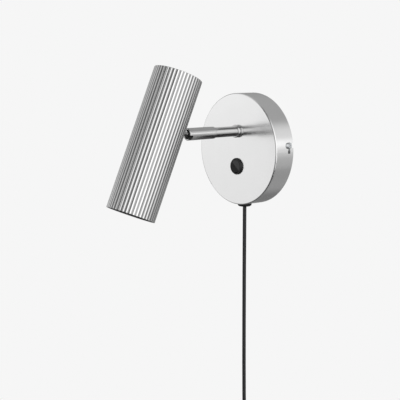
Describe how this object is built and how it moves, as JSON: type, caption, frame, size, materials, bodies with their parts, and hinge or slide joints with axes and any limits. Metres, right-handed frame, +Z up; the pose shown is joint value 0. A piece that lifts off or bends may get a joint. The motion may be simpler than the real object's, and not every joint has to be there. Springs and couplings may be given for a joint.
{
  "type": "tube wall light",
  "caption": "Corded wall light: round metal wall cup with a rocker switch, short straight arm, ball swivel and a tilting fluted tube shade that throws light down.",
  "frame": {"origin": "centre of the wall cup's back rim on the wall surface, which is also the middle of the two wall fixing holes", "axes": "+Z up, +X along the wall, +Y into the wall; the lamp stands out towards -Y"},
  "size_m": [0.1342, 0.2038, 0.6008],
  "materials": {
    "satin_nickel": "semi-polished nickel plate on spun steel",
    "bright_nickel": "polished nickel plate",
    "fluted_aluminium": "extruded, satin anodised",
    "zinc_steel": "zinc-plated sheet and turned steel",
    "spring_steel": "oiled spring steel",
    "black_plastic": "moulded, fine matt texture",
    "black_rocker": "moulded, satin gloss",
    "black_sheath": "round flexible sheath",
    "baffle_black": "matt black paint",
    "natural_nylon": "turned nylon",
    "brass": "turned brass",
    "nickel_pin": "nickel-plated brass pins",
    "ceramic": "glazed white ceramic",
    "lamp_white": "white reflector lamp shell",
    "lamp_glass": "pressed clear front glass",
    "wire_insulation": "heat-proof wire insulation",
    "terminal_nylon": "moulded terminal strip"
  },
  "bodies": {
    "wall_side": {"wall_plate": "zinc_steel", "canopy_cup": "satin_nickel", "cup_lock_screws": "zinc_steel", "arm_collar": "bright_nickel", "arm_tube": "bright_nickel", "arm_toothed_washer": "spring_steel", "arm_lock_nut": "zinc_steel", "wire_bush": "natural_nylon", "swivel_bolt": "zinc_steel", "switch_housing": "black_plastic", "switch_terminals": "brass", "terminal_block": "terminal_nylon", "terminal_screws": "brass", "earth_screw": "zinc_steel", "earth_washer": "spring_steel", "cord_gland": "black_plastic", "gland_nut": "black_plastic", "clamp_base": "black_plastic", "clamp_bar": "black_plastic", "clamp_screws": "zinc_steel", "inner_lead": "black_sheath", "arm_wires": "wire_insulation", "cord": "black_sheath", "cord_coil": "black_sheath", "cord_tie": "black_plastic", "plug_body": "black_plastic", "plug_pins": "nickel_pin"},
    "sleeve": {"swivel_socket": "satin_nickel", "swivel_washer": "spring_steel", "ball_seat": "natural_nylon", "seat_springs": "spring_steel"},
    "ball": {"swivel_ball": "bright_nickel"},
    "head": {"neck_tube": "bright_nickel", "neck_clip": "spring_steel", "neck_saddle": "bright_nickel", "neck_nut": "zinc_steel", "shade_tube": "fluted_aluminium", "shade_top_disc": "fluted_aluminium", "mouth_baffle": "baffle_black", "lamp_strap": "zinc_steel", "lampholder": "ceramic", "lampholder_screws": "zinc_steel", "bulb_body": "lamp_white", "bulb_glass": "lamp_glass", "bulb_pins": "nickel_pin", "lamp_wires": "wire_insulation"},
    "rocker": {"switch_rocker": "black_rocker"}
  },
  "joints": [
    {"name": "socket_turn", "type": "hinge", "parent": "wall_side", "child": "sleeve", "pos_m": [0, -0.0978, 0.021], "axis": [0, -1, 0], "range_deg": [-170, 170]},
    {"name": "head_tilt", "type": "hinge", "parent": "sleeve", "child": "ball", "pos_m": [0, -0.0978, 0.021], "axis": [0.9987, 0, -0.0506], "range_deg": [-3.5, 47.7]},
    {"name": "head_spin", "type": "hinge", "parent": "ball", "child": "head", "pos_m": [0, -0.0978, 0.021], "axis": [0.019, -0.9265, 0.3757], "range_deg": [-170, 170]},
    {"name": "switch_rock", "type": "hinge", "parent": "wall_side", "child": "rocker", "pos_m": [0, -0.027, -0.02], "axis": [0.766, 0, -0.6428], "range_deg": [0, 18]}
  ]
}
